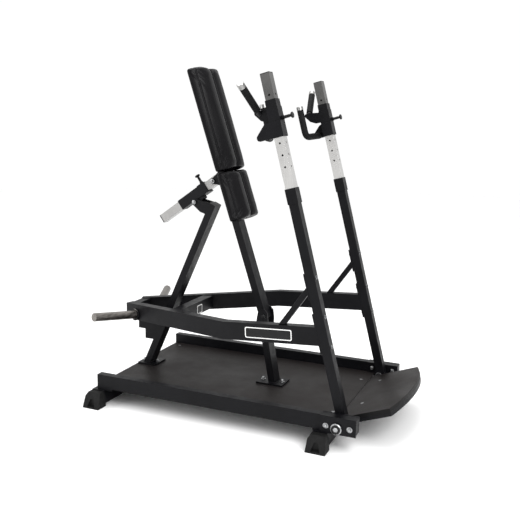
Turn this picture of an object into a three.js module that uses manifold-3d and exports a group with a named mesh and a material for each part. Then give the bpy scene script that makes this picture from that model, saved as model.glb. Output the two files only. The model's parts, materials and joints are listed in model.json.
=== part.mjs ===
import * as THREE from 'three';
import { mergeVertices } from 'three/addons/utils/BufferGeometryUtils.js';
import Module from 'manifold-3d';

// Plate-loaded standing lever press. Millimetres, +Z up, +X the way the user faces, +Y their left.
// While parts are built, x = 0 is the rear end of the floor rails and z = 0 is the floor.

const wasm = await Module();
wasm.setup();

const GAP = 0.3;

// Base
const RAIL = { length: 1546, outer: 475, thick: 45, bottom: 100, top: 180, wall: 4 };
const BEAM = { rear: 10, front: 1360, wide: 80, bottom: 10, top: 90, end: 484, wall: 4 };
const SEAT = { rear: [2, 100], front: [1316, 1404] };
const FOOT = { half: 53, outer: 560, lean: 22, height: 86 };
const BOARD = { rear: 3, front: 1408, bottom: 100, top: 120.4 };
const RAMP = { x: 1410, z: 121.9, angle: 20.5, half: 352, side: 286, apex: 350, thick: 20 };
const PIVOT = { x: 1444.5, z: 121, radius: 12.5 };
const PLATE = { rear: 1357, front: 1546, bottom: 100.3, top: 181 };

// Press arm
const LEAN = 14.92;
const UPRIGHT = { x: 1440.4, z: 186.7, y: 396.5, size: 50, wall: 3, joint: 1100, collar: 1155, top: 1728 };
const ARM = { rear: [-36.4, 71], bend: [778.5, 396.5], front: 1340, wide: 50, tall: 97 };
const ARM_HEIGHTS = { rear: 467, bend: 530, front: 567 };
const HORN = { root: [47.9, 131.7, 459], tip: [-57, 416, 496.5], radius: 25 };
const HOLES = [1262, 1322, 1382, 1442, 1502, 1562, 1622];

// Carriages
const CARRIAGE = { bottom: 1412, step: 1562, top: 1599, split: 1493, size: 61, neck: 57, bore: 50.8, pin: 1502 };
const BAR = 14;
const GRIP = 19;
const HIGH = { start: [-93, 372, 1553], end: [-94, 524, 1699] };
const LOW = { start: [-62, 424, 1428], bend: [-104, 268, 1428], end: [-104, 268, 1608], radius: 36 };

// Backrest and its adjuster
const POST_LEAN = 18.4;
const PAD_POST = { x: 844.8, z: 524, wide: 80, deep: 42, bottom: -20, top: 1320 };
const HINGE = { x: 856, z: 524, radius: 6 };
const UPPER_PAD = [857, 1446];
const LOWER_PAD = [568, 847];
// Two rounded lobes with a groove between them: half outline as [sideways, forward].
const PAD_HALF = [
  [0, 69], [7, 73], [16, 78], [34, 82], [62, 82], [90, 77],
  [115, 66], [135, 50], [149, 34], [154, 24], [154, 8], [149, 1.5],
];
const SLIDE_ANGLE = 35;
const EYE = { x: 520, z: 1285, radius: 6, clearance: 9.5 };
const EAR = { x: 403, z: 1158, radius: 6 };
const REAR_LEAN = 24.06;
const REAR_POST = { x: 59.1, z: 120.7, wide: 80, deep: 42, top: 1128 };
const MAST = { x: 912.5, z: 120.7, lean: 10.6, wide: 80, deep: 40 };

// ---------- solids ----------

function toManifold(geometry) {
  const plain = geometry.clone();
  plain.deleteAttribute('normal');
  plain.deleteAttribute('uv');
  const merged = mergeVertices(plain, 1e-3);
  return new wasm.Manifold(new wasm.Mesh({
    numProp: 3,
    vertProperties: new Float32Array(merged.attributes.position.array),
    triVerts: new Uint32Array(merged.index.array),
  }));
}

function toGeometry(manifold) {
  const mesh = manifold.getMesh();
  const geometry = new THREE.BufferGeometry();
  geometry.setAttribute('position', new THREE.BufferAttribute(new Float32Array(mesh.vertProperties), 3));
  geometry.setIndex(new THREE.BufferAttribute(new Uint32Array(mesh.triVerts), 1));
  return geometry;
}

function join(first, ...others) {
  let result = toManifold(first);
  for (const other of others) {
    result = result.add(toManifold(other));
  }
  return toGeometry(result);
}

function cut(first, ...tools) {
  let result = toManifold(first);
  for (const tool of tools) {
    result = result.subtract(toManifold(tool));
  }
  return toGeometry(result);
}

function box(x0, x1, y0, y1, z0, z1) {
  const geometry = new THREE.BoxGeometry(x1 - x0, y1 - y0, z1 - z0);
  return geometry.translate((x0 + x1) / 2, (y0 + y1) / 2, (z0 + z1) / 2);
}

function rod(start, end, radius, sides = 24, endRadius = radius) {
  const a = new THREE.Vector3(...start);
  const b = new THREE.Vector3(...end);
  const along = b.clone().sub(a);
  const geometry = new THREE.CylinderGeometry(endRadius, radius, along.length(), sides);
  const turn = new THREE.Quaternion().setFromUnitVectors(new THREE.Vector3(0, 1, 0), along.clone().normalize());
  geometry.applyQuaternion(turn);
  return geometry.translate((a.x + b.x) / 2, (a.y + b.y) / 2, (a.z + b.z) / 2);
}

function rodY(x, z, y0, y1, radius, sides = 24) {
  return rod([x, y0, z], [x, y1, z], radius, sides);
}

// A flat outline in X and Z, given thickness from y0 to y1.
function plateXZ(points, y0, y1) {
  const shape = new THREE.Shape(points.map(([x, z]) => new THREE.Vector2(x, z)));
  const geometry = new THREE.ExtrudeGeometry(shape, { depth: y1 - y0, bevelEnabled: false, steps: 1 });
  return geometry.rotateX(Math.PI / 2).translate(0, y1, 0);
}

// A flat outline in X and Y, given height from z0 to z1.
function plateXY(points, z0, z1) {
  const shape = new THREE.Shape(points.map(([x, y]) => new THREE.Vector2(x, y)));
  const geometry = new THREE.ExtrudeGeometry(shape, { depth: z1 - z0, bevelEnabled: false, steps: 1 });
  return geometry.translate(0, 0, z0);
}

// Closed skin through rings that all have the same number of points.
function loft(rings) {
  const count = rings[0].length;
  const points = rings.flat();
  const faces = [];
  for (let ring = 0; ring < rings.length - 1; ring += 1) {
    for (let i = 0; i < count; i += 1) {
      const j = (i + 1) % count;
      const a = ring * count + i;
      const b = ring * count + j;
      faces.push(a, b, b + count, a, b + count, a + count);
    }
  }
  for (const [ring, flip] of [[0, true], [rings.length - 1, false]]) {
    const centre = new THREE.Vector3();
    rings[ring].forEach((point) => centre.add(new THREE.Vector3(...point)));
    points.push(centre.divideScalar(count).toArray());
    for (let i = 0; i < count; i += 1) {
      const a = ring * count + i;
      const b = ring * count + ((i + 1) % count);
      faces.push(...(flip ? [points.length - 1, b, a] : [points.length - 1, a, b]));
    }
  }
  const geometry = new THREE.BufferGeometry();
  geometry.setAttribute('position', new THREE.Float32BufferAttribute(points.flat(), 3));
  geometry.setIndex(faces);
  return geometry;
}

// Round bar through stations, each a point and the direction the bar runs there.
function bentBar(stations, radius, across, sides = 16) {
  const rings = stations.map(([point, along]) => {
    const side = new THREE.Vector3().crossVectors(across, along).normalize();
    const ring = [];
    for (let i = 0; i < sides; i += 1) {
      const angle = (i / sides) * Math.PI * 2;
      const place = point.clone();
      place.addScaledVector(side, radius * Math.cos(angle));
      place.addScaledVector(across, radius * Math.sin(angle));
      ring.push(place.toArray());
    }
    return ring;
  });
  return loft(rings);
}

function mirrorY(geometry) {
  const flipped = geometry.clone().scale(1, -1, 1);
  const index = flipped.index ? flipped.index.array : null;
  if (index) {
    for (let i = 0; i < index.length; i += 3) {
      const keep = index[i + 1];
      index[i + 1] = index[i + 2];
      index[i + 2] = keep;
    }
    return flipped;
  }
  const place = flipped.attributes.position;
  for (let i = 0; i < place.count; i += 3) {
    for (let k = 0; k < 3; k += 1) {
      const keep = place.getComponent(i + 1, k);
      place.setComponent(i + 1, k, place.getComponent(i + 2, k));
      place.setComponent(i + 2, k, keep);
    }
  }
  return flipped;
}

// Local frames: x forward or along, y sideways, z up or away.
function tilted(geometry, degrees, x, z) {
  return geometry.rotateY(THREE.MathUtils.degToRad(degrees)).translate(x, 0, z);
}

const onUpright = (geometry) => tilted(geometry, -LEAN, UPRIGHT.x, UPRIGHT.z);
const onPadPost = (geometry) => tilted(geometry, -POST_LEAN, PAD_POST.x, PAD_POST.z);
const onSlide = (geometry) => tilted(geometry, -SLIDE_ANGLE, EYE.x, EYE.z);
const onRamp = (geometry) => tilted(geometry, -RAMP.angle, RAMP.x, RAMP.z);
const onRearPost = (geometry) => tilted(geometry, REAR_LEAN, REAR_POST.x, REAR_POST.z);
const onMast = (geometry) => tilted(geometry, -MAST.lean, MAST.x, MAST.z);

// Turns a point of the row's XZ plane into a local frame of the kind above.
function localPoint(point, degrees, origin) {
  const angle = THREE.MathUtils.degToRad(degrees);
  const x = point.x - origin.x;
  const z = point.z - origin.z;
  return [x * Math.cos(angle) - z * Math.sin(angle), x * Math.sin(angle) + z * Math.cos(angle)];
}

// ---------- base ----------

function rail() {
  const { length, outer, thick, bottom, top, wall } = RAIL;
  const inner = outer - thick;
  return cut(
    box(0, length, inner, outer, bottom, top),
    box(wall, length - wall, inner + wall, outer - wall, bottom + wall, top - wall),
    rodY(PIVOT.x, PIVOT.z, inner - 5, outer + 5, PIVOT.radius + GAP),
  );
}

function crossBeam(centre, seat) {
  const { wide, bottom, top, end, wall } = BEAM;
  const tube = cut(
    box(centre - wide / 2, centre + wide / 2, -end, end, bottom, top),
    box(centre - wide / 2 + wall, centre + wide / 2 - wall, -end - 5, end + 5, bottom + wall, top - wall),
  );
  return join(tube, box(seat[0], seat[1], -RAIL.outer, RAIL.outer, top - 1, RAIL.bottom - GAP));
}

function foot(centre) {
  const { half, outer, lean, height } = FOOT;
  const inner = BEAM.end + GAP;
  const ring = (z, endY, halfX) => [
    [centre - halfX, inner, z],
    [centre + halfX, inner, z],
    [centre + halfX, endY, z],
    [centre - halfX, endY, z],
  ];
  const shell = loft([
    ring(0, outer, half),
    ring(10, outer - 1, half - 0.5),
    ring(height - 20, outer - lean, half - 4),
    ring(height, outer - lean - 16, half - 14),
  ]);
  const arch = [
    [centre - 25, 9],
    [centre + 25, 9],
    [centre + 10, 52],
    [centre, 56],
    [centre - 10, 52],
  ];
  const recess = plateXZ(arch, outer - 23, outer + 5);
  const plug = box(centre - 34, centre + 34, inner - 36, inner + 2, BEAM.bottom + 6, BEAM.top - 6);
  return join(cut(shell, recess), plug);
}

function spineBeam() {
  const rear = SEAT.rear[1] + GAP;
  const front = SEAT.front[0] - GAP;
  const tube = box(rear, front, -30, 30, 42, BOARD.bottom - GAP - 1);
  const inside = box(rear - 5, front + 5, -26, 26, 46, BOARD.bottom - GAP - 5);
  return cut(tube, inside);
}

function platformBoard() {
  const wide = RAIL.outer - RAIL.thick - GAP;
  const narrow = wide - 8;
  const step = PLATE.rear - 4;
  const outline = [
    [BOARD.rear, -wide],
    [step, -wide],
    [step, -narrow],
    [BOARD.front, -narrow],
    [BOARD.front, narrow],
    [step, narrow],
    [step, wide],
    [BOARD.rear, wide],
  ];
  return plateXY(outline, BOARD.bottom, BOARD.top);
}

// Outline of the sloped front board, shrunk by an inset, in its own plane.
function rampOutline(inset, rear) {
  const half = RAMP.half - inset;
  const rise = RAMP.apex - RAMP.side;
  const radius = (RAMP.half ** 2 + rise ** 2) / (2 * rise);
  const points = [[rear, half], [rear, -half]];
  for (let i = 0; i <= 24; i += 1) {
    const y = -half + (2 * half * i) / 24;
    points.push([RAMP.apex - inset - radius + Math.sqrt(radius ** 2 - y ** 2), y]);
  }
  return points;
}

function frontBoard() {
  return onRamp(plateXY(rampOutline(0, 0), -RAMP.thick, 0));
}

function frontBoardFrame() {
  const top = -RAMP.thick - GAP;
  const rim = cut(
    plateXY(rampOutline(4, 14), top - 22, top),
    plateXY(rampOutline(44, 54), top - 30, top + 8),
  );
  const face = SEAT.front[1] + GAP;
  const bracket = (y) => plateXZ([[face, 40], [face + 40, 44], [1560, 140], [1500, 122], [face + 18, 86], [face, 86]], y - 20, y + 20);
  return join(onRamp(rim), bracket(-215), bracket(215));
}

function rearPost() {
  const { wide, deep, top } = REAR_POST;
  const tube = onRearPost(cut(
    box(-deep / 2, deep / 2, -wide / 2, wide / 2, -40, top),
    box(-deep / 2 + 3, deep / 2 - 3, -wide / 2 + 3, wide / 2 - 3, 20, top - 4),
    box(-deep, -deep / 2 + 10, -4, 4, 60, 76),
  ));
  const trimmed = cut(tube, box(-200, 300, -100, 100, 0, BOARD.top + GAP));
  const footPlate = box(10, 136, -62, 62, BOARD.top + GAP, BOARD.top + GAP + 10);
  const ear = [
    [501, 1156],
    [470, 1163],
    [EAR.x + 6, EAR.z + 19],
    [EAR.x - 11, EAR.z + 17],
    [EAR.x - 20, EAR.z],
    [EAR.x - 12, EAR.z - 16],
    [EAR.x + 12, EAR.z - 36],
    [EAR.x + 36, EAR.z - 56],
    [EAR.x + 58, EAR.z - 62],
    [468, 1092],
  ];
  const earHole = rodY(EAR.x, EAR.z, -60, 60, EAR.radius + GAP, 16);
  const stopArm = join(box(0, 170, -30, 30, 344, 404), box(47, 130, -30, 30, 282, 346));
  const welded = join(trimmed, footPlate, plateXZ(ear, 33.4, 40), plateXZ(ear, -40, -33.4), stopArm);
  return cut(welded, earHole);
}

function mast() {
  const { wide, deep } = MAST;
  const stub = onMast(cut(
    box(-deep / 2, deep / 2, -wide / 2, wide / 2, -20, 345),
    box(-deep / 2 + 3, deep / 2 - 3, -wide / 2 + 3, wide / 2 - 3, 20, 325),
    box(-deep, -deep / 2 + 10, -4, 4, 60, 76),
  ));
  const trimmed = cut(stub, box(700, 1100, -100, 100, 0, BOARD.top + GAP));
  const footPlate = box(820, 984, -62, 62, BOARD.top + GAP, BOARD.top + GAP + 10);
  const forkBase = box(812, 882, -49, 49, 440, 470);
  const cheek = [
    [812, 442],
    [882, 442],
    [884, 500],
    [878, 546],
    [860, 566],
    [838, 566],
    [820, 546],
    [812, 500],
  ];
  const cheeks = [plateXZ(cheek, 41, 49), plateXZ(cheek, -49, -41)];
  const hole = rodY(HINGE.x, HINGE.z, -60, 60, HINGE.radius + GAP, 16);
  return cut(join(trimmed, footPlate, forkBase, ...cheeks), hole);
}

function stopBumper() {
  return rod([16, 0, 404 + GAP], [16, 0, 435.6], 17, 24, 15);
}

function pivotPlate(y0, y1, bottom) {
  const plate = box(PLATE.rear, PLATE.front, y0, y1, bottom, PLATE.top);
  return cut(plate, rodY(PIVOT.x, PIVOT.z, y0 - 5, y1 + 5, PIVOT.radius + GAP));
}

function turned(profile, y0) {
  const points = profile.map(([radius, along]) => new THREE.Vector2(radius, along));
  return new THREE.LatheGeometry(points, 28).translate(PIVOT.x, y0, PIVOT.z);
}

function pivotShaft() {
  const { radius } = PIVOT;
  return turned([[0, 0], [22, 0], [22, 5], [radius, 5], [radius, 118.4], [30, 118.4], [30, 127], [26, 131], [0, 131]], 365.5);
}

function bolt(x, z, radius, reach, head) {
  return join(
    rodY(x, z, -reach, reach, radius, 16),
    rodY(x, z, reach - 0.5, reach + head, radius * 1.9, 6),
    rodY(x, z, -reach - head, -reach + 0.5, radius * 1.9, 6),
  );
}

// ---------- press arm ----------

function upright() {
  const { y, size, wall, joint, collar } = UPRIGHT;
  const half = size / 2;
  const outside = join(
    box(-half, half, y - half, y + half, -95, joint),
    box(-28.5, 28.5, y - 28.5, y + 28.5, collar - 78, collar),
  );
  const inside = half - wall;
  const body = onUpright(cut(
    outside,
    box(-inside, inside, y - inside, y + inside, 40, joint + 5),
    box(-half - GAP, half + GAP, y - half - GAP, y + half + GAP, joint, collar + 5),
  ));
  const barrel = rodY(PIVOT.x, PIVOT.z, y - half, y + half, 30, 32);
  const bore = rodY(PIVOT.x, PIVOT.z, y - 40, y + 40, PIVOT.radius + 0.4);
  return cut(join(body, barrel), bore);
}

function innerTube() {
  const { y, size, wall, joint, top } = UPRIGHT;
  const half = size / 2;
  const inside = half - wall;
  let tube = cut(
    box(-half, half, y - half, y + half, joint + GAP, top),
    box(-inside, inside, y - inside, y + inside, joint - 5, top + 5),
  );
  const drills = HOLES.flatMap((s) => [
    rod([0, y - 40, s], [0, y + 40, s], 5.5, 12),
    rod([0, y, s], [40, y, s], 5.5, 12),
  ]);
  tube = cut(tube, ...drills);
  return onUpright(tube);
}

function tubeCap() {
  const { y, size, wall, top } = UPRIGHT;
  const half = size / 2;
  const plug = half - wall - GAP;
  return onUpright(join(
    box(-half, half, y - half, y + half, top + GAP, top + 4),
    box(-plug, plug, y - plug, y + plug, top - 16, top + 1),
  ));
}

// Height of the arm's middle line at a given x.
function armHeight(x) {
  const { rear, bend, front } = ARM_HEIGHTS;
  if (x < ARM.bend[0]) {
    return rear + ((bend - rear) * (x - ARM.rear[0])) / (ARM.bend[0] - ARM.rear[0]);
  }
  return bend + ((front - bend) * (x - ARM.bend[0])) / (ARM.front - ARM.bend[0]);
}

// Side line of the arm, offset from its middle line.
function armSide(offset) {
  const [rearX, rearY] = ARM.rear;
  const [bendX, bendY] = ARM.bend;
  const angle = Math.atan2(bendY - rearY, bendX - rearX);
  const rear = [rearX - offset * Math.sin(angle), rearY + offset * Math.cos(angle)];
  const bend = [bendX - offset * Math.tan(angle / 2), bendY + offset];
  return [rear, bend, [ARM.front, bendY + offset]];
}

function raised(geometry) {
  const place = geometry.attributes.position;
  for (let i = 0; i < place.count; i += 1) {
    place.setZ(i, place.getZ(i) + armHeight(place.getX(i)));
  }
  return geometry;
}

function arm() {
  const outer = ARM.wide / 2;
  const inner = outer - 4;
  const tall = ARM.tall / 2;
  const outside = raised(plateXY([...armSide(-outer), ...armSide(outer).reverse()], -tall, tall));
  const innerPath = [...armSide(-inner), ...armSide(inner).reverse()];
  innerPath[0] = [innerPath[0][0] + 6, innerPath[0][1] + 2.4];
  innerPath[5] = [innerPath[5][0] + 6, innerPath[5][1] + 2.4];
  innerPath[2][0] -= 70;
  innerPath[3][0] -= 70;
  const inside = raised(plateXY(innerPath, -tall + 4, tall - 4));
  const drain = rod([700, 366, 500], [700, 366, 440], 4, 12);
  const { y } = UPRIGHT;
  const plate = onUpright(box(-33.3, -25, y - 25, y + 25, 306, 514));
  const room = onUpright(box(-25 - GAP, 120, y - 60, y + 60, 100, 700));
  return cut(join(cut(outside, inside, drain), plate), room);
}

function brace() {
  const { y } = UPRIGHT;
  const along = THREE.MathUtils.degToRad(55);
  const side = [-Math.sin(along) * 15, Math.cos(along) * 15];
  const base = [1114, 606];
  const reach = 330;
  const corner = (sign, far) => [
    base[0] + sign * side[0] + far * Math.cos(along),
    base[1] + sign * side[1] + far * Math.sin(along),
  ];
  const bar = plateXZ([corner(-1, -60), corner(-1, reach), corner(1, reach), corner(1, -60)], y - 15, y + 15);
  const plate = onUpright(box(-33.3, -25, y - 25, y + 25, 590, 722));
  const room = onUpright(box(-25 - GAP, 400, y - 60, y + 60, 200, 900));
  const floor = (x) => armHeight(x) + ARM.tall / 2 + GAP;
  const below = plateXZ([[900, 400], [1300, 400], [1300, floor(1300)], [900, floor(900)]], y - 60, y + 60);
  return cut(join(bar, plate), room, below);
}

// Tube between the two arms, its ends parallel to their inner faces.
function leverCross(rear, front, bottom, top) {
  const edge = armSide(-ARM.wide / 2 - GAP);
  const slope = (edge[1][1] - edge[0][1]) / (edge[1][0] - edge[0][0]);
  const reach = (x) => edge[0][1] + slope * (x - edge[0][0]);
  const outline = [[rear, -reach(rear)], [front, -reach(front)], [front, reach(front)], [rear, reach(rear)]];
  const tube = plateXY(outline, bottom, top);
  return cut(tube, box(rear + 4, front - 4, -300, 300, bottom + 4, top - 4));
}

function horn() {
  const root = new THREE.Vector3(...HORN.root);
  const tip = new THREE.Vector3(...HORN.tip);
  const along = tip.clone().sub(root).normalize();
  const start = root.clone().addScaledVector(along, -30);
  const edge = tip.clone().addScaledVector(along, -3);
  const bar = join(
    rod(start.toArray(), edge.toArray(), HORN.radius, 24),
    rod(edge.clone().addScaledVector(along, -0.5).toArray(), tip.toArray(), HORN.radius, 24, HORN.radius - 3),
  );
  const [rear, bend] = armSide(ARM.wide / 2 + GAP);
  const heading = Math.atan2(bend[1] - rear[1], bend[0] - rear[0]);
  const flange = new THREE.CylinderGeometry(36, 36, 16, 24).rotateZ(heading).translate(...HORN.root);
  const inside = box(-400, 400, -200, 0, 200, 800).rotateZ(heading).translate(rear[0], rear[1], 0);
  return cut(join(bar, flange), inside);
}

// ---------- carriages ----------

// Outlines of the two gusset plates behind a carriage, from its rear wall backwards.
function lowerGusset(wall) {
  return [[wall, 1413], [-98, 1413], [-109, 1418], [-113, 1429], [-110, 1440], [-60, 1487], [-48, 1491], [wall, 1491]];
}

function upperGusset(wall) {
  return [[wall, 1497], [-60, 1499], [-92, 1516], [-119, 1552], [-119, 1562], [-110, 1568], [-75, 1566], [wall, 1556]];
}

function carriage() {
  const { bottom, step, top, split, size, neck, bore, pin } = CARRIAGE;
  const { y } = UPRIGHT;
  const half = size / 2;
  const shell = join(
    box(-half, half, y - half, y + half, bottom, step),
    box(-neck / 2, neck / 2, y - neck / 2, y + neck / 2, step - 1, top),
    rod([half - 2, y, pin], [half + 12, y, pin], 11, 20),
  );
  const seam = cut(
    box(-half - 5, half + 5, y - half - 5, y + half + 5, split, split + 2),
    box(-half + 1, half - 1, y - half + 1, y + half - 1, split - 5, split + 5),
  );
  const gussets = join(
    shell,
    plateXZ(lowerGusset(-half + 2), y + half - 8, y + half),
    plateXZ(upperGusset(-half + 2), y - half, y - half + 8),
  );
  return onUpright(cut(
    gussets,
    seam,
    box(-bore / 2, bore / 2, y - bore / 2, y + bore / 2, bottom - 5, top + 5),
    rod([0, y, pin], [80, y, pin], 5.6, 16),
  ));
}

// A straight bar along the high handle's line, between two fractions of it.
function highRod(from, to, radius) {
  const start = new THREE.Vector3(...HIGH.start);
  const end = new THREE.Vector3(...HIGH.end);
  return rod(start.clone().lerp(end, from).toArray(), start.clone().lerp(end, to).toArray(), radius, 16);
}

// The low handle's bar, with its two ends moved along their own straight runs.
function lowRod(radius, startMove, endMove) {
  const start = new THREE.Vector3(...LOW.start);
  const bend = new THREE.Vector3(...LOW.bend);
  const end = new THREE.Vector3(...LOW.end);
  const first = bend.clone().sub(start).normalize();
  const second = end.clone().sub(bend).normalize();
  const before = bend.clone().addScaledVector(first, -LOW.radius);
  const after = bend.clone().addScaledVector(second, LOW.radius);
  const corner = new THREE.QuadraticBezierCurve3(before, bend, after);
  const stations = [[start.addScaledVector(first, startMove), first]];
  for (let i = 0; i <= 6; i += 1) {
    stations.push([corner.getPoint(i / 6), corner.getTangent(i / 6)]);
  }
  stations.push([end.addScaledVector(second, endMove), second]);
  return bentBar(stations, radius, new THREE.Vector3().crossVectors(first, second).normalize());
}

function highBar() {
  return onUpright(cut(highRod(-0.2, 1, BAR), behindUpperGusset()));
}

function lowBar() {
  return onUpright(cut(lowRod(BAR, -20, 0), behindLowerGusset()));
}

// Everything on the far side of the two gusset plates' inner faces.
function behindLowerGusset() {
  const face = UPRIGHT.y + CARRIAGE.size / 2 - 8 - GAP;
  return box(-200, 50, face, face + 90, 1380, 1500);
}

function behindUpperGusset() {
  const face = UPRIGHT.y - CARRIAGE.size / 2 + 8 + GAP;
  return box(-200, 50, face - 90, face, 1450, 1620);
}

function highGrip() {
  return onUpright(cut(highRod(0.105, 0.86, GRIP), highRod(0.05, 0.95, BAR + GAP)));
}

function lowGrip() {
  return onUpright(cut(lowRod(GRIP, 22, -22), lowRod(BAR + GAP, 10, 0)));
}

// Spring plunger: nose, collar, stem and end flange, as [radius, distance].
function plungerProfile(nose, tip) {
  return [[0, nose], [4, nose], [5.2, nose + 2], [5.2, nose + 19.5], [9, nose + 19.5], [7, nose + 24],
    [7, tip - 14], [15.5, tip - 8], [15.5, tip - 2], [13, tip], [0, tip]];
}

function plunger(nose, tip) {
  const points = plungerProfile(nose, tip).map(([radius, along]) => new THREE.Vector2(radius, along));
  return new THREE.LatheGeometry(points, 16);
}

function carriagePin() {
  const geometry = plunger(25.5, 92).rotateZ(-Math.PI / 2);
  return onUpright(geometry.translate(0, UPRIGHT.y, CARRIAGE.pin));
}

// ---------- backrest ----------

const POST_FRONT = PAD_POST.deep / 2;
const hingeLocal = localPoint(HINGE, -POST_LEAN, PAD_POST);
const eyeLocal = localPoint(EYE, -POST_LEAN, PAD_POST);
const earLocal = localPoint(EAR, -SLIDE_ANGLE, EYE);

function padPost() {
  const { wide, deep, bottom, top } = PAD_POST;
  const tube = cut(
    box(-deep / 2, deep / 2, -wide / 2, wide / 2, bottom, top),
    box(-deep / 2 + 3, deep / 2 - 3, -wide / 2 + 3, wide / 2 - 3, 40, top + 5),
  );
  const [x, z] = eyeLocal;
  const tab = [
    [-deep / 2 + 1, z + 42],
    [-deep / 2 + 1, z - 42],
    [x + 6, z - 19],
    [x - 11, z - 16],
    [x - 19, z],
    [x - 11, z + 16],
    [x + 6, z + 19],
  ];
  const hook = box(-deep / 2 - 7, -deep / 2 + 1, -25, 25, 500, 530);
  const welded = join(tube, plateXZ(tab, 26, 34), plateXZ(tab, -34, -26), hook);
  return onPadPost(cut(
    welded,
    rodY(hingeLocal[0], hingeLocal[1], -60, 60, HINGE.radius + 0.4, 16),
    rodY(x, z, -60, 60, EYE.radius + GAP, 16),
  ));
}

function padBoard([bottom, top]) {
  const front = POST_FRONT + GAP;
  return onPadPost(box(front, front + 10, -132, 132, bottom + 14, top - 14));
}

function padRing(s, shrink, sink) {
  const forward = (n) => POST_FRONT + 1.5 + (n - 1.5) * sink;
  const left = PAD_HALF.map(([y, n]) => [forward(n), y * shrink, s]);
  const right = PAD_HALF.slice(1).reverse().map(([y, n]) => [forward(n), -y * shrink, s]);
  return [...left, ...right];
}

function pad([bottom, top]) {
  const body = loft([
    padRing(bottom, 0.95, 0.9),
    padRing(bottom + 5, 0.985, 0.97),
    padRing(bottom + 14, 1, 1),
    padRing(top - 16, 1, 1),
    padRing(top - 6, 0.97, 0.95),
    padRing(top, 0.92, 0.85),
  ]);
  const pocket = box(POST_FRONT - 5, POST_FRONT + 10 + 2 * GAP, -133, 133, bottom + 13, top - 13);
  return onPadPost(cut(body, pocket));
}

// ---------- adjuster ----------

function adjusterSleeve() {
  const [u, n] = earLocal;
  const lug = [[u - 24, -29], [u - 19, n - 4], [u - 12, n - 14], [u, n - 18], [u + 12, n - 14], [u + 56, -46], [u + 56, -29]];
  const body = join(
    box(-268, -61, -30, 30, -30, 30),
    box(-109, -61, -33, 33, -33, 33),
    plateXZ(lug, -24, 24),
    rod([-85, 0, 31], [-85, 0, 45], 11, 20),
  );
  return onSlide(cut(
    body,
    box(-280, -50, -25.4, 25.4, -25.4, 25.4),
    rod([-85, 0, 0], [-85, 0, 60], 5.6, 16),
    rodY(u, n, -60, 60, EAR.radius + 0.4, 16),
  ));
}

function adjusterTube() {
  const drills = [-205, -165, -125, -85, -45].map((u) => rod([u, 0, 10], [u, 0, 40], 5.5, 12));
  return onSlide(cut(
    box(-421, 22, -25, 25, -25, 25),
    box(-430, 30, -22, 22, -22, 22),
    rodY(0, 0, -40, 40, EYE.clearance, 20),
    ...drills,
  ));
}

function adjusterCap() {
  return onSlide(join(
    box(-427, -421 - GAP, -25, 25, -25, 25),
    box(-424, -404, -21.7, 21.7, -21.7, 21.7),
  ));
}

function adjusterPin() {
  return onSlide(plunger(25.5, 92).rotateX(Math.PI / 2).translate(-85, 0, 0));
}

// ---------- assembly ----------

const FINISH = {
  frame: { color: 0x26272b, roughness: 0.5, metalness: 0.35 },
  chrome: { color: 0xd9dad8, roughness: 0.22, metalness: 0.95 },
  steel: { color: 0x8d8983, roughness: 0.38, metalness: 0.9 },
  zinc: { color: 0xc4c6c8, roughness: 0.35, metalness: 0.9 },
  rubber: { color: 0x18181a, roughness: 0.8, metalness: 0 },
  plastic: { color: 0x141416, roughness: 0.45, metalness: 0 },
  board: { color: 0x2c2726, roughness: 0.7, metalness: 0 },
  plywood: { color: 0x3a2f28, roughness: 0.75, metalness: 0 },
  leather: { color: 0x1c1c20, roughness: 0.48, metalness: 0 },
};

const machine = new THREE.Group();
machine.name = 'standing_lever_press';

function add(name, geometry, finish) {
  const mesh = new THREE.Mesh(geometry, new THREE.MeshStandardMaterial(FINISH[finish]));
  mesh.name = name;
  machine.add(mesh);
}

function addPair(name, geometry, finish) {
  add(`${name}_left`, geometry, finish);
  add(`${name}_right`, mirrorY(geometry), finish);
}

function addBase() {
  addPair('rail', rail(), 'frame');
  add('cross_beam_rear', crossBeam(BEAM.rear, SEAT.rear), 'frame');
  add('cross_beam_front', crossBeam(BEAM.front, SEAT.front), 'frame');
  addPair('foot_rear', foot(BEAM.rear), 'rubber');
  addPair('foot_front', foot(BEAM.front), 'rubber');
  add('spine_beam', spineBeam(), 'frame');
  add('platform_board', platformBoard(), 'board');
  add('front_board', frontBoard(), 'board');
  add('front_board_frame', frontBoardFrame(), 'frame');
  add('rear_post', rearPost(), 'frame');
  add('stop_bumper', stopBumper(), 'rubber');
  add('mast', mast(), 'frame');
  addPair('pivot_plate_outer', pivotPlate(RAIL.outer + GAP, 483, 90.5), 'frame');
  addPair('pivot_plate_inner', pivotPlate(422.3, 429.7, PLATE.bottom), 'frame');
  addPair('pivot_shaft', pivotShaft(), 'zinc');
  add('hinge_pin', bolt(HINGE.x, HINGE.z, HINGE.radius, 49.5, 8), 'zinc');
  add('ear_bolt', bolt(EAR.x, EAR.z, EAR.radius, 40.5, 8), 'zinc');
}

function addPressArm() {
  addPair('upright', upright(), 'frame');
  addPair('inner_tube', innerTube(), 'chrome');
  addPair('tube_cap', tubeCap(), 'plastic');
  addPair('lever_arm', arm(), 'frame');
  addPair('brace', brace(), 'frame');
  add('lever_cross_rear', leverCross(-25, 28, 436, 514), 'frame');
  add('lever_cross_front', leverCross(338, 398, 464, 542), 'frame');
  addPair('weight_horn', horn(), 'steel');
}

function addCarriages() {
  addPair('carriage', carriage(), 'frame');
  addPair('handle_high', highBar(), 'chrome');
  addPair('handle_low', lowBar(), 'chrome');
  addPair('grip_high', highGrip(), 'rubber');
  addPair('grip_low', lowGrip(), 'rubber');
  addPair('carriage_pin', carriagePin(), 'plastic');
}

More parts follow.
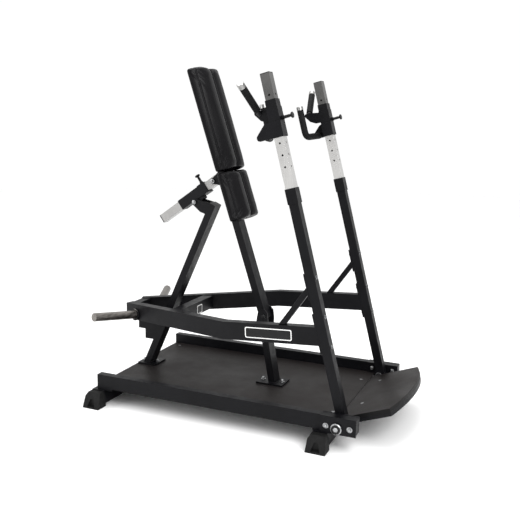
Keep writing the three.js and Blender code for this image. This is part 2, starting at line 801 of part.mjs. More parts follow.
function addBackrest() {
  add('pad_post', padPost(), 'frame');
  add('eye_bolt', bolt(EYE.x, EYE.z, EYE.radius, 34.5, 8), 'zinc');
  add('upper_pad_board', padBoard(UPPER_PAD), 'plywood');
  add('lower_pad_board', padBoard(LOWER_PAD), 'plywood');
  add('upper_pad', pad(UPPER_PAD), 'leather');
  add('lower_pad', pad(LOWER_PAD), 'leather');
  add('adjuster_sleeve', adjusterSleeve(), 'frame');
  add('adjuster_tube', adjusterTube(), 'chrome');
  add('adjuster_cap', adjusterCap(), 'plastic');
  add('adjuster_pin', adjusterPin(), 'plastic');
}

addBase();
addPressArm();
addCarriages();
addBackrest();

// The origin goes on the floor, under the middle of the whole machine.
const extent = new THREE.Box3().setFromObject(machine);
const middle = (extent.min.x + extent.max.x) / 2;
machine.children.forEach((mesh) => mesh.geometry.translate(-middle, 0, 0));

export default machine;
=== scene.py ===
import json
import math

import bmesh
import bpy
import numpy as np
from mathutils import Matrix, Vector


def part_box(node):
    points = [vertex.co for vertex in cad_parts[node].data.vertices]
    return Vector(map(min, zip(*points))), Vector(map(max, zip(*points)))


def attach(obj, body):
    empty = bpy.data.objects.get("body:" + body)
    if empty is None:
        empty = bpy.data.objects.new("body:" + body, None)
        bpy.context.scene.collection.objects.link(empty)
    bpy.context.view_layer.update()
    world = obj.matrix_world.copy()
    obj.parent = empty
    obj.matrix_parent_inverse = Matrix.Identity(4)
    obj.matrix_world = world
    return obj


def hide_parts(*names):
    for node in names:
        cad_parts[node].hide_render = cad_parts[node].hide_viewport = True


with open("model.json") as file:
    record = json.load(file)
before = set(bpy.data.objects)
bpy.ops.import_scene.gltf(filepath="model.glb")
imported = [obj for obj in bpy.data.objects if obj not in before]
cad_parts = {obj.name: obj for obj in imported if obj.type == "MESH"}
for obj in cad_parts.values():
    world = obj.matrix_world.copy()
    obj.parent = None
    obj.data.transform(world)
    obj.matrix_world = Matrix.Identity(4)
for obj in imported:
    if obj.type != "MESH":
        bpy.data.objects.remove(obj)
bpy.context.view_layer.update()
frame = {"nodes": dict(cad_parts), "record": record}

# Places are in the floor rails' own frame in millimetres, as in the CAD: x = 0 at the rails' rear end.
RAIL_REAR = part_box("rail_left")[0].x
MM = 0.001


def at(x, y, z):
    return Vector((RAIL_REAR + x * MM, y * MM, z * MM))


def leaning(origin, degrees):
    """A frame whose x points forward and z up the leaning part."""
    return Matrix.Translation(origin) @ Matrix.Rotation(math.radians(-degrees), 4, "Y")


UPRIGHT = leaning(at(1440.4, 0, 186.7), 14.92)
PAD_POST = leaning(at(844.8, 0, 524), 18.4)
SLIDE = leaning(at(520, 0, 1285), 35)
RAMP = leaning(at(1410, 0, 121.9), 20.5)
SIDE = 396.5  # middle of an upright
SIDES = (("left", 1), ("right", -1))
PIVOT = (1444.5, 121)
EYE = (520, 1285)
EAR = (403, 1158)
HINGE = (856, 524)
BOARD_TOP = 120.4
FOOT_PLATE_TOP = 131
CARRIAGE_PIN = 1502
PIN_RIB_HEIGHTS = (52, 58, 64, 70)
HORN_ROOT, HORN_TIP = (47.9, 131.7, 459), (-57, 416, 496.5)
HIGH_START, HIGH_END = (-93, 372, 1553), (-94, 524, 1699)
LOW_END = (-104, 268, 1608)
TUBE_PAINTED_REFLECTION_ABOVE = 1.7  # metres: painted reflection, the bright inner tubes are coloured darker above the carriages

# Upholstery, in millimetres
VOXEL = 5
SWELL_CAP = 5
PINNED_BEHIND = 34
CLOTH_STEPS = 20
SIDE_SEAM = 131


def local(matrix, x, y, z):
    return matrix @ Vector((x * MM, y * MM, z * MM))


# ---------- materials ----------


class Paint:
    """Builds one procedural material, node by node."""

    def __init__(self, name, roughness, metal=0.0):
        self.material = bpy.data.materials.new(name)
        self.material.use_nodes = True
        self.tree = self.material.node_tree
        self.shader = self.tree.nodes["Principled BSDF"]
        self.shader.inputs["Roughness"].default_value = roughness
        self.shader.inputs["Metallic"].default_value = metal
        self.place = self.add("ShaderNodeTexCoord").outputs["Object"]
        self.normal = None

    def add(self, kind, **values):
        node = self.tree.nodes.new(kind)
        for key, value in values.items():
            setattr(node, key, value)
        return node

    def link(self, source, target):
        self.tree.links.new(source, target)

    def stretched(self, scale, turn=0.0):
        mapping = self.add("ShaderNodeMapping")
        mapping.inputs["Scale"].default_value = scale
        mapping.inputs["Rotation"].default_value = (0, math.radians(turn), 0)
        self.link(self.place, mapping.inputs["Vector"])
        return mapping.outputs["Vector"]

    def noise(self, scale, detail=3.0, vector=None):
        node = self.add("ShaderNodeTexNoise")
        node.inputs["Scale"].default_value = scale
        node.inputs["Detail"].default_value = detail
        self.link(vector or self.place, node.inputs["Vector"])
        return node.outputs["Fac"]

    def cells(self, scale, feature="DISTANCE_TO_EDGE"):
        node = self.add("ShaderNodeTexVoronoi", feature=feature)
        node.inputs["Scale"].default_value = scale
        self.link(self.place, node.inputs["Vector"])
        return node.outputs["Distance"]

    def bands(self, scale, axis="X", vector=None, distortion=0.0):
        node = self.add("ShaderNodeTexWave", bands_direction=axis)
        node.inputs["Scale"].default_value = scale
        node.inputs["Distortion"].default_value = distortion
        self.link(vector or self.place, node.inputs["Vector"])
        return node.outputs["Fac"]

    def ramp(self, fac, *stops):
        node = self.add("ShaderNodeValToRGB")
        elements = node.color_ramp.elements
        while len(elements) < len(stops):
            elements.new(0.5)
        for element, (position, colour) in zip(elements, stops):
            element.position = position
            element.color = (*colour, 1)
        self.link(fac, node.inputs["Fac"])
        return node.outputs["Color"]

    def span(self, fac, low, high, start=0.3, end=0.7):
        node = self.add("ShaderNodeMapRange")
        for name, value in (("From Min", start), ("From Max", end), ("To Min", low), ("To Max", high)):
            node.inputs[name].default_value = value
        self.link(fac, node.inputs["Value"])
        return node.outputs["Result"]

    def math(self, operation, a, b):
        node = self.add("ShaderNodeMath", operation=operation)
        for socket, value in zip(node.inputs, (a, b)):
            if isinstance(value, (int, float)):
                socket.default_value = value
            else:
                self.link(value, socket)
        return node.outputs["Value"]

    def bump(self, height, strength, distance):
        node = self.add("ShaderNodeBump")
        node.inputs["Strength"].default_value = strength
        node.inputs["Distance"].default_value = distance
        self.link(height, node.inputs["Height"])
        if self.normal:
            self.link(self.normal, node.inputs["Normal"])
        self.normal = node.outputs["Normal"]

    def colour(self, output):
        self.link(output, self.shader.inputs["Base Color"])

    def rough(self, output):
        self.link(output, self.shader.inputs["Roughness"])

    def done(self):
        if self.normal:
            self.link(self.normal, self.shader.inputs["Normal"])
        return self.material


def powder_coat():
    """Satin black powder coat: orange peel, slight mottling and faint dust."""
    p = Paint("powder_coat", 0.42)
    p.shader.inputs["Specular IOR Level"].default_value = 0.13
    p.colour(p.ramp(p.noise(7, 4), (0.3, (0.0022, 0.0022, 0.003)), (0.7, (0.0036, 0.0036, 0.0047))))
    p.rough(p.span(p.noise(26, 5), 0.34, 0.5))
    p.bump(p.noise(650, 2), 0.22, 0.0004)
    p.bump(p.cells(2600, "F1"), 0.08, 0.0002)
    return p.done()


def bright_plate(name, shade, painted_reflection_above=None):
    """Bright plated tube with a fine drawn grain along it, and a painted reflection that darkens its colour
    above a height in metres.
    """
    p = Paint(name, 0.24, 1.0)
    grain = p.noise(22, 3, p.stretched((9, 9, 0.4), 15))
    tone = p.math("MULTIPLY", p.noise(9, 3), 0.5)
    # Painted reflection: above the height the tone moves into the ramp's dark stops.
    if painted_reflection_above:
        split = p.add("ShaderNodeSeparateXYZ")
        p.link(p.place, split.inputs["Vector"])
        painted_reflection = p.span(split.outputs["Z"], 0, 0.5, painted_reflection_above - 0.02, painted_reflection_above + 0.02)
        tone = p.math("ADD", tone, painted_reflection)
    stops = []
    for position, level in ((0.15, 0.92), (0.35, 1.06), (0.65, 0.17), (0.85, 0.24)):
        stops.append((position, tuple(shade * level * part for part in (1.0, 0.99, 0.97))))
    p.colour(p.ramp(tone, *stops))
    p.rough(p.span(grain, 0.26, 0.38))
    return p.done()


def handle_chrome(name, paint_top):
    """Chromed bar, painted black with its bracket up to a height in metres, under the grip."""
    p = Paint(name, 0.12, 1.0)
    split = p.add("ShaderNodeSeparateXYZ")
    p.link(p.place, split.inputs["Vector"])
    bare = p.math("GREATER_THAN", split.outputs["Z"], paint_top)
    p.colour(p.ramp(p.math("MULTIPLY", bare, 0.9), (0.1, (0.005, 0.005, 0.006)), (0.8, (0.5, 0.5, 0.5))))
    p.link(bare, p.shader.inputs["Metallic"])
    p.rough(p.math("SUBTRACT", p.span(p.noise(60, 4), 0.36, 0.46), p.math("MULTIPLY", bare, 0.24)))
    p.bump(p.noise(320, 2), 0.04, 0.0002)
    return p.done()


def horn_steel():
    """Turned steel sleeve: rings round the bar and rub marks from plates."""
    p = Paint("horn_steel", 0.38, 1.0)
    rubs = p.noise(40, 6, p.stretched((2.5, 0.35, 2.5)))
    p.colour(p.ramp(rubs, (0.3, (0.15, 0.14, 0.13)), (0.7, (0.26, 0.245, 0.23))))
    p.rough(p.span(rubs, 0.3, 0.5))
    p.bump(p.bands(420, "Y", distortion=1.0), 0.06, 0.0002)
    p.bump(rubs, 0.08, 0.0004)
    return p.done()


def zinc():
    p = Paint("zinc_plate", 0.3, 1.0)
    p.colour(p.ramp(p.noise(90, 4), (0.3, (0.26, 0.265, 0.27)), (0.7, (0.42, 0.425, 0.43))))
    p.rough(p.span(p.noise(150, 4), 0.22, 0.4))
    p.bump(p.noise(500, 3), 0.08, 0.0002)
    return p.done()


def rubber(name, shade, scale=900):
    p = Paint(name, 0.72)
    p.shader.inputs["Specular IOR Level"].default_value = 0.2
    p.colour(p.ramp(p.noise(18, 4), (0.3, (shade,) * 3), (0.7, (shade * 1.7,) * 3)))
    p.rough(p.span(p.noise(45, 4), 0.62, 0.82))
    p.bump(p.noise(scale, 3), 0.25, 0.0004)
    return p.done()


def grip_rubber():
    """Soft grip sleeve with a fine raised grid."""
    p = Paint("grip_rubber", 0.66)
    p.shader.inputs["Specular IOR Level"].default_value = 0.12
    rings = p.bands(110, "Z", p.stretched((1, 1, 1), 15))
    p.colour(p.ramp(p.noise(25, 4), (0.3, (0.0035, 0.0035, 0.0037)), (0.7, (0.007, 0.007, 0.0074))))
    p.rough(p.span(p.noise(60, 4), 0.55, 0.75))
    p.bump(rings, 0.35, 0.0008)
    p.bump(p.noise(800, 2), 0.2, 0.0003)
    return p.done()


def plastic():
    p = Paint("black_plastic", 0.4)
    p.shader.inputs["Specular IOR Level"].default_value = 0.2
    p.colour(p.ramp(p.noise(30, 3), (0.3, (0.005, 0.005, 0.0054)), (0.7, (0.009, 0.009, 0.0095))))
    p.rough(p.span(p.noise(80, 3), 0.34, 0.5))
    p.bump(p.noise(1200, 2), 0.15, 0.0002)
    return p.done()


def board_film(name, turn):
    """Dark brown anti-slip film, a fine pressed mesh with scuffs from shoes, and black sealed edges."""
    p = Paint(name, 0.5)
    p.shader.inputs["Specular IOR Level"].default_value = 0.15
    along = p.stretched((1, 1, 1), turn)
    mesh = p.math("MULTIPLY", p.bands(48, "X", along), p.bands(48, "Y", along))
    scuff = p.noise(4.5, 6)
    tone = p.math("ADD", p.math("MULTIPLY", mesh, 0.35), p.math("MULTIPLY", scuff, 0.65))
    film = p.ramp(tone, (0.25, (0.0075, 0.0063, 0.006)), (0.75, (0.0155, 0.013, 0.0125)))
    faces = p.add("ShaderNodeNewGeometry").outputs["Normal"]
    split = p.add("ShaderNodeSeparateXYZ")
    p.link(faces, split.inputs["Vector"])
    top = p.math("GREATER_THAN", split.outputs["Z"], 0.6)
    mix = p.add("ShaderNodeMix", data_type="RGBA")
    mix.inputs[6].default_value = (0.002, 0.002, 0.0022, 1)
    p.link(top, mix.inputs["Factor"])
    p.link(film, mix.inputs[7])
    p.colour(mix.outputs[2])
    p.rough(p.span(scuff, 0.4, 0.6))
    p.bump(mesh, 0.5, 0.0007)
    p.bump(p.noise(120, 4), 0.08, 0.0004)
    return p.done()


def plywood():
    p = Paint("plywood", 0.7)
    layers = p.bands(210, "X", p.stretched((1, 1, 1), 18))
    p.colour(p.ramp(layers, (0.3, (0.16, 0.095, 0.05)), (0.7, (0.33, 0.22, 0.13))))
    p.bump(p.noise(300, 4, p.stretched((8, 1, 1))), 0.3, 0.0005)
    return p.done()


def leather():
    """Smooth black upholstery: fine pebble grain, faint unevenness and a mild sheen."""
    p = Paint("leather", 0.42)
    p.shader.inputs["Specular IOR Level"].default_value = 0.12
    p.colour(p.ramp(p.noise(6, 4), (0.3, (0.0017, 0.0015, 0.0021)), (0.7, (0.0028, 0.0026, 0.0034))))
    p.rough(p.span(p.noise(20, 5), 0.3, 0.4))
    p.bump(p.cells(750), 0.2, 0.0005)
    p.bump(p.noise(12, 3), 0.05, 0.003)
    return p.done()


def blank_plate():
    """Pale blank plates where the maker's stickers would be."""
    p = Paint("blank_plate", 0.35)
    p.colour(p.ramp(p.noise(12, 3), (0.3, (0.72, 0.72, 0.71)), (0.7, (0.82, 0.82, 0.81))))
    p.rough(p.span(p.noise(40, 3), 0.3, 0.45))
    p.bump(p.noise(300, 2), 0.05, 0.0002)
    return p.done()


FINISH = {
    "frame": powder_coat(),
    "bright": bright_plate("bright_plate", 0.56, TUBE_PAINTED_REFLECTION_ABOVE),
    "adjuster": bright_plate("adjuster_plate", 0.3),
    "handle_high": handle_chrome("handle_high_bar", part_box("grip_high_left")[1].z - 0.03),
    "handle_low": handle_chrome("handle_low_bar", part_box("grip_low_left")[1].z - 0.02),
    "horn_steel": horn_steel(),
    "zinc": zinc(),
    "foot": rubber("foot_rubber", 0.004),
    "rubber": rubber("bumper_rubber", 0.005, 600),
    "grip": grip_rubber(),
    "plastic": plastic(),
    "board": board_film("board_film", 0),
    "ramp": board_film("front_board_film", 20.5),
    "plywood": plywood(),
    "leather": leather(),
    "plate": blank_plate(),
}


def finish_of(node, slot):
    if node.startswith("handle_"):
        return node[:node.rindex("_")]
    if node.startswith("grip_"):
        return "grip"
    if node.startswith("foot_"):
        return "foot"
    if node == "front_board":
        return "ramp"
    if node == "adjuster_tube":
        return "adjuster"
    return slot


def soften(obj, width):
    """Rounds the edges of a faceted solid without moving its faces."""
    mesh = obj.data
    mesh.shade_smooth()
    custom = mesh.attributes.get("custom_normal")
    if mesh.has_custom_normals and custom:
        mesh.attributes.remove(custom)
    weld = obj.modifiers.new("weld", "WELD")
    weld.merge_threshold = 0.00002
    flat = obj.modifiers.new("flat", "DECIMATE")
    flat.decimate_type = "DISSOLVE"
    flat.angle_limit = math.radians(0.6)
    round_off = obj.modifiers.new("round", "BEVEL")
    round_off.width = width * MM
    round_off.segments = 3
    round_off.limit_method = "ANGLE"
    round_off.angle_limit = math.radians(32)
    round_off.use_clamp_overlap = True
    round_off.harden_normals = True
    round_off.miter_outer = "MITER_ARC"


# Radius of the rounded edges in millimetres, by the start of a node's name.
EDGE = {
    "rail": 4.5, "cross_beam": 4.5, "spine_beam": 4, "upright": 4.5, "lever_arm": 4.5, "brace": 3.5,
    "lever_cross": 4.5, "pad_post": 4.5, "rear_post": 4.5, "mast": 4.5, "inner_tube": 2.2,
    "adjuster_tube": 2.2, "carriage": 2.2, "adjuster_sleeve": 2.2, "foot": 5, "platform_board": 1.5,
    "front_board": 2.2, "pivot_plate": 1.6, "tube_cap": 1.5, "adjuster_cap": 1.5, "weight_horn": 1.2,
    "stop_bumper": 2.5, "front_board_frame": 1.5,
}


def edge_of(node):
    matches = [key for key in EDGE if node.startswith(key)]
    return EDGE[max(matches, key=len)] if matches else 0.8


def dress_cad():
    slots = {s["node"]: s["material_slot"] for s in frame["record"]["subparts"]}
    for node, obj in frame["nodes"].items():
        obj.data.materials.clear()
        obj.data.materials.append(FINISH[finish_of(node, slots[node])])
        soften(obj, edge_of(node))


# ---------- mesh helpers ----------


def make(name, verts, faces, finish, body, slot, smooth=True):
    mesh = bpy.data.meshes.new(name)
    mesh.from_pydata([tuple(v) for v in verts], [], faces)
    mesh.validate()
    obj = bpy.data.objects.new(name, mesh)
    bpy.context.scene.collection.objects.link(obj)
    mesh.materials.append(FINISH[finish])
    if smooth:
        mesh.shade_smooth()
    tidy = bmesh.new()
    tidy.from_mesh(mesh)
    bmesh.ops.recalc_face_normals(tidy, faces=tidy.faces)
    tidy.to_mesh(mesh)
    tidy.free()
    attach(obj, body)
    return obj


def axes_for(direction):
    up = Vector(direction).normalized()
    side = up.cross(Vector((0, 1, 0)) if abs(up.y) < 0.9 else Vector((1, 0, 0))).normalized()
    return side, up.cross(side), up


def turned(profile, origin, direction, sides=32, waves=None):
    """Vertices and faces of a profile of [radius, height] in mm, turned about an axis."""
    side, other, up = axes_for(direction)
    verts, faces = [], []
    for radius, height in profile:
        for i in range(sides):
            angle = 2 * math.pi * i / sides
            reach = radius * (waves(angle) if waves else 1) * MM
            place = side * math.cos(angle) * reach + other * math.sin(angle) * reach
            verts.append(Vector(origin) + place + up * height * MM)
    for ring in range(len(profile) - 1):
        for i in range(sides):
            j = (i + 1) % sides
            a, b = ring * sides + i, ring * sides + j
            faces.append((a, b, b + sides, a + sides))
    faces.append(tuple(range(sides))[::-1])
    faces.append(tuple(range((len(profile) - 1) * sides, len(profile) * sides)))
    return verts, faces


def merge(parts):
    verts, faces = [], []
    for more_verts, more_faces in parts:
        start = len(verts)
        verts += more_verts
        faces += [tuple(i + start for i in face) for face in more_faces]
    return verts, faces


def hexagon(angle):
    """How far a hexagon's side is at an angle, as a share of its corner radius."""
    step = (angle + math.pi / 6) % (math.pi / 3) - math.pi / 6
    return math.cos(math.pi / 6) / math.cos(step)


def washer(radius, thick=2.2):
    return [
        [radius - 1, 0], [radius, 0.3], [radius, thick - 0.5],
        [radius - 0.8, thick], [radius * 0.4, thick],
    ]


def dome_nut(name, origin, direction, radius, body):
    """Washer, hexagon and dome."""
    flange = turned(washer(radius * 1.35), origin, direction)
    hexagonal = [
        [radius * 0.9, 2.2], [radius, 3],
        [radius, radius * 0.62 + 2.2], [radius * 0.92, radius * 0.7 + 2.2],
    ]
    nut = turned(hexagonal, origin, direction, 48, hexagon)
    rise = radius * 0.7 + 2.0
    angles = np.linspace(0, 1.45, 8)
    dome = [[radius * 0.8 * math.cos(a), rise + radius * 0.62 * math.sin(a)] for a in angles]
    cap = turned(dome, origin, direction)
    split_shading(make(name, *merge([flange, nut, cap]), "zinc", body, "zinc"))


def hex_bolt(name, origin, direction, radius, body, finish="zinc", slot="zinc"):
    """Washer and a hexagon head with chamfered corners and a raised ring."""
    foot = 1.8
    flange = turned(washer(radius * 1.3, foot), origin, direction)
    head = [
        [radius * 0.95, foot], [radius, 2.4],
        [radius, radius * 0.68 + foot], [radius * 0.9, radius * 0.76 + foot],
    ]
    rim = [
        [radius * 0.74, radius * 0.7 + foot], [radius * 0.74, radius * 0.86 + foot],
        [radius * 0.5, radius * 0.8 + foot],
    ]
    parts = [flange, turned(head, origin, direction, 48, hexagon), turned(rim, origin, direction)]
    split_shading(make(name, *merge(parts), finish, body, slot))


def socket_screw(name, origin, direction, radius, body):
    """Low countersunk screw with a six-sided socket."""
    profile = [
        [radius * 0.7, -1.2], [radius, 0], [radius, 0.5],
        [radius * 0.86, 1.1], [radius * 0.48, 1.2],
    ]
    rim = turned(profile, origin, direction)
    socket = turned([[radius * 0.48, 1.2], [radius * 0.46, -0.9]], origin, direction, 48, hexagon)
    split_shading(make(name, *merge([rim, socket]), "zinc", body, "zinc"))


def split_shading(obj, degrees=35):
    """Keeps real edges crisp while round faces stay smooth."""
    mesh = bmesh.new()
    mesh.from_mesh(obj.data)
    for edge in mesh.edges:
        edge.smooth = edge.is_manifold and edge.calc_face_angle(0) < math.radians(degrees)
    mesh.to_mesh(obj.data)
    mesh.free()


def tube_along(points, radius_at, sides=8):
    """Closed tube through points, its radius a function of the distance along it."""
    verts, faces = [], []
    travelled = 0.0
    count = len(points)
    for index, point in enumerate(points):
        before, after = points[max(index - 1, 0)], points[min(index + 1, count - 1)]
        side, other, _ = axes_for(after - before)
        if index:
            travelled += (point - points[index - 1]).length
        radius = radius_at(travelled / MM) * MM
        for i in range(sides):
            angle = 2 * math.pi * i / sides
            verts.append(point + side * math.cos(angle) * radius + other * math.sin(angle) * radius)
        if index:
            for i in range(sides):
                j = (i + 1) % sides
                a, b = (index - 1) * sides + i, (index - 1) * sides + j
                faces.append((a, b, b + sides, a + sides))
    faces.append(tuple(range(sides))[::-1])
    faces.append(tuple(range((count - 1) * sides, count * sides)))
    return verts, faces


def weld_bead(name, corners, body, size=2.6, closed=False):
    """Rippled fillet of weld under the powder coat, along straight runs between corners."""
    path = corners + [corners[0]] if closed else corners
    points = []
    for start, end in zip(path, path[1:]):
        steps = max(2, int((end - start).length / (1.6 * MM)))
        points += [start.lerp(end, i / steps) for i in range(steps)]
    points.append(path[-1])
    beads = tube_along(points, lambda s: size * (0.86 + 0.14 * math.cos(s * 1.9)))
    make(name, *beads, "frame", body, "frame")


# ---------- fasteners and welds ----------


def base_fasteners():
    for side, sign in SIDES:
        for index, x in enumerate((1388, 1513)):
            dome_nut(f"plate_nut_outer_{side}_{index}", at(x, sign * 483, 128), (0, sign, 0), 11, "base")
            hex_bolt(f"plate_bolt_inner_{side}_{index}", at(x, sign * 422.3, 148), (0, -sign, 0), 9, "base")
        for index, (x, y) in enumerate(((60, 380), (700, 405), (1362, 274))):
            place = at(x, sign * y, BOARD_TOP)
            socket_screw(f"board_screw_{side}_{index}", place, (0, 0, 1), 9, "base")
    for index, y in enumerate((220, -170)):
        top = local(RAMP, 85, y, 0)
        socket_screw(f"front_board_screw_{index}", top, RAMP.to_3x3() @ Vector((0, 0, 1)), 9, "base")
    for index, x in enumerate((842, 961)):
        dome_nut(f"mast_nut_{index}", at(x, 0, FOOT_PLATE_TOP), (0, 0, 1), 10.5, "base")
    for index, x in enumerate((25, 113)):
        dome_nut(f"rear_post_nut_{index}", at(x, 0, FOOT_PLATE_TOP), (0, 0, 1), 9.5, "base")
    adjusting_screw()
    hub_caps()


def hub_caps():
    """Dark recessed faces with a six-sided socket on the pivot shafts' heads."""
    for side, sign in SIDES:
        face = at(PIVOT[0], sign * 496.5, PIVOT[1])
        dish = turned([[24.5, 0], [24.5, 0.8], [22.5, 1.6], [15, 0.5], [14.6, 0.4]], face, (0, sign, 0), 40)
        make(f"hub_dish_{side}", *dish, "plastic", "base", "plastic")
        boss = turned([[12.5, 0.2], [13.5, 1.0], [12.8, 2.6], [8, 2.8]], face, (0, sign, 0), 48, hexagon)
        split_shading(make(f"hub_boss_{side}", *boss, "zinc", "base", "zinc"))


def adjusting_screw():
    """Short levelling screw under the near side of the front board."""
    top = local(RAMP, 120, -300, -43)
    down = RAMP.to_3x3() @ Vector((0, 0, -1))
    shaft = turned([[5, -4], [5, 12], [4, 13]], top, down, 24)
    head = turned([[9, 4], [10, 4.6], [10, 10], [9, 10.8]], top, down, 48, hexagon)
    split_shading(make("adjusting_screw", *merge([shaft, head]), "frame", "base", "frame"))


def arm_fasteners():
    forward = UPRIGHT.to_3x3() @ Vector((1, 0, 0))
    for side, sign in SIDES:
        for index, s in enumerate((331.6, 488.6, 693.8)):
            front = local(UPRIGHT, 25, sign * SIDE, s)
            back = local(UPRIGHT, -33.3, sign * SIDE, s)
            hex_bolt(f"upright_bolt_{side}_{index}", front, forward, 8.2, "press_arm")
            hex_bolt(f"upright_nut_{side}_{index}", back, -forward, 7.4, "press_arm")


def linkage_fasteners():
    for side, sign in SIDES:
        eye = at(EYE[0], sign * 42.7, EYE[1])
        hinge = at(HINGE[0], sign * 57.7, HINGE[1])
        ear = at(EAR[0], sign * 48.7, EAR[1])
        dome_nut(f"eye_nut_{side}", eye, (0, sign, 0), 9.5, "backrest")
        hex_bolt(f"hinge_nut_{side}", hinge, (0, sign, 0), 8, "base", "plastic", "plastic")
        dome_nut(f"ear_nut_{side}", ear, (0, sign, 0), 9, "base")


def pad_screws():
    """Heads of the screws that hold the pads' boards, seen from behind."""
    back = PAD_POST.to_3x3() @ Vector((-1, 0, 0))
    for name, spots in (("upper", (930, 1060, 1240, 1380)), ("lower", (620, 790))):
        for index, s in enumerate(spots):
            for side, sign in SIDES:
                place = local(PAD_POST, 21.3, sign * 92, s)
                hex_bolt(f"{name}_pad_screw_{side}_{index}", place, back, 6.5, "backrest")


def weld_beads():
    for side, sign in SIDES:
        for tag, s in (("arm_top", 514), ("arm_bottom", 306), ("brace_top", 722), ("brace_bottom", 590)):
            edge = [local(UPRIGHT, -33.6, sign * SIDE - 21, s), local(UPRIGHT, -33.6, sign * SIDE + 21, s)]
            weld_bead(f"weld_{tag}_{side}", edge, "press_arm", 1.6)
    for name, centre, half_x, half_y in (("mast", 914.5, 21, 40), ("rear_post", 63.5, 23.5, 40)):
        ring = [at(centre + i * half_x, j * half_y, 131.4) for i, j in ((-1, -1), (1, -1), (1, 1), (-1, 1))]
        weld_bead(f"weld_{name}_foot", ring, "base", 2.8, closed=True)


# ---------- upholstery ----------


def swell(obj, cap, pinned):
    """Cloth simulation under pressure, each point moving no further than the cap."""
    rest = np.array([v.co for v in obj.data.vertices])
    pins = obj.vertex_groups.new(name="pins")
    pins.add([int(i) for i in np.nonzero(pinned(rest))[0]], 1.0, "REPLACE")
    cloth = obj.modifiers.new("cloth", "CLOTH")
    cloth.settings.use_pressure = True
    cloth.settings.uniform_pressure_force = 4
    cloth.settings.effector_weights.gravity = 0
    cloth.settings.quality = 5
    cloth.settings.tension_stiffness = 25
    cloth.settings.compression_stiffness = 25
    cloth.settings.bending_stiffness = 0.6
    cloth.settings.vertex_group_mass = "pins"
    cloth.collision_settings.use_collision = False
    cloth.point_cache.frame_start = 1
    cloth.point_cache.frame_end = CLOTH_STEPS
    for step in range(1, CLOTH_STEPS + 1):
        bpy.context.scene.frame_set(step)
    shaped = obj.evaluated_get(bpy.context.evaluated_depsgraph_get()).to_mesh()
    moved = np.array([v.co for v in shaped.vertices]) - rest
    obj.modifiers.remove(cloth)
    length = np.maximum(np.linalg.norm(moved, axis=1, keepdims=True), 1e-9)
    moved *= np.minimum(1.0, cap * MM / length)
    obj.data.vertices.foreach_set("co", (rest + moved).ravel())
    obj.vertex_groups.clear()
    bpy.context.scene.frame_set(1)


def apply_modifier(obj, kind, **values):
    modifier = obj.modifiers.new(kind.lower(), kind)
    for key, value in values.items():
        setattr(modifier, key, value)
    shaped = bpy.data.meshes.new_from_object(obj.evaluated_get(bpy.context.evaluated_depsgraph_get()))
    obj.modifiers.remove(modifier)
    old = obj.data
    obj.data = shaped
    bpy.data.meshes.remove(old)


def groove(points, normals, distance, depth, width):
    """Pushes points in along their normals where they are near a line, as a soft valley."""
    share = np.exp(-((distance / width) ** 2))
    return points - normals * (depth * share)[:, None]


def sew(obj):
    """Sewn lines of a pad in its post's frame, in mm: middle groove, side seams and end seams."""
    inverse = PAD_POST.inverted()
    count = len(obj.data.vertices)
    co = np.empty(count * 3)
    obj.data.vertices.foreach_get("co", co)
    turn = np.array(inverse.to_3x3())
    points = (co.reshape(-1, 3) @ turn.T + np.array(inverse.translation)) / MM
    normals = np.empty(count * 3)
    obj.data.vertex_normals.foreach_get("vector", normals)
    normals = normals.reshape(-1, 3) @ turn.T
    x, y, s = points.T
    low, high = s.min(), s.max()
    front = np.clip((x - 45) / 20, 0, 1)
    points = groove(points, normals, y, 9.0 * front, 4.6)
    points = groove(points, normals, np.abs(y) - SIDE_SEAM, 2.8 * np.clip((x - 30) / 12, 0, 1), 3.0)
    ends = np.minimum(np.abs(s - (low + 9)), np.abs(s - (high - 11)))
    points = groove(points, normals, ends, 1.3 * np.clip((x - 28) / 12, 0, 1), 2.4)
    world = (points * MM) @ turn + np.array(PAD_POST.translation)
    obj.data.vertices.foreach_set("co", world.ravel())
    obj.data.update()


def pad(node):
    """Two-lobed upholstered pad in place of the CAD solid."""
    source = frame["nodes"][node]
    mesh = source.data.copy()
    mesh.name = node + "_upholstery"
    obj = bpy.data.objects.new(node + "_upholstery", mesh)
    bpy.context.scene.collection.objects.link(obj)
    mesh.materials.clear()
    if mesh.attributes.get("custom_normal"):
        mesh.attributes.remove(mesh.attributes["custom_normal"])
    solid = bmesh.new()
    solid.from_mesh(mesh)
    bmesh.ops.remove_doubles(solid, verts=solid.verts, dist=0.00002)
    solid.to_mesh(mesh)
    solid.free()
    apply_modifier(obj, "REMESH", mode="VOXEL", voxel_size=VOXEL * MM)
    apply_modifier(obj, "SMOOTH", factor=0.5, iterations=4)
    inverse = PAD_POST.inverted()
    turn = np.array(inverse.to_3x3())
    base = np.array(inverse.translation)

    def behind(points):
        return (points @ turn.T + base)[:, 0] < PINNED_BEHIND * MM

    swell(obj, SWELL_CAP, behind)
    apply_modifier(obj, "SUBSURF", levels=1, render_levels=1)
    sew(obj)
    obj.data.materials.clear()
    obj.data.materials.append(FINISH["leather"])
    obj.data.shade_smooth()
    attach(obj, "backrest")
    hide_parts(node)


# ---------- small trim ----------


def blank_label(name, matrix, length, height, body):
    """Thin plate with round corners: a pale face on a darker rim."""
    for part, grow, lift, finish in (("rim", 0, 0.4, "plate"), ("face", -5, 0.9, "plastic")):
        half_x, half_z, corner = length / 2 + grow, height / 2 + grow, 9 + grow / 2
        outline = []
        for cx, cz, start in ((1, 1, 0), (-1, 1, 90), (-1, -1, 180), (1, -1, 270)):
            for step in range(7):
                angle = math.radians(start + step * 15)
                x = cx * (half_x - corner) + corner * math.cos(angle)
                outline.append((x, cz * (half_z - corner) + corner * math.sin(angle)))
        count = len(outline)
        verts = [local(matrix, x, depth, z) for depth in (0, -lift) for x, z in outline]
        faces = [tuple(range(count)), tuple(range(count, 2 * count))[::-1]]
        faces += [(i, (i + 1) % count, count + (i + 1) % count, count + i) for i in range(count)]
        make(f"{name}_{part}", verts, faces, finish, body, "plastic", smooth=False)


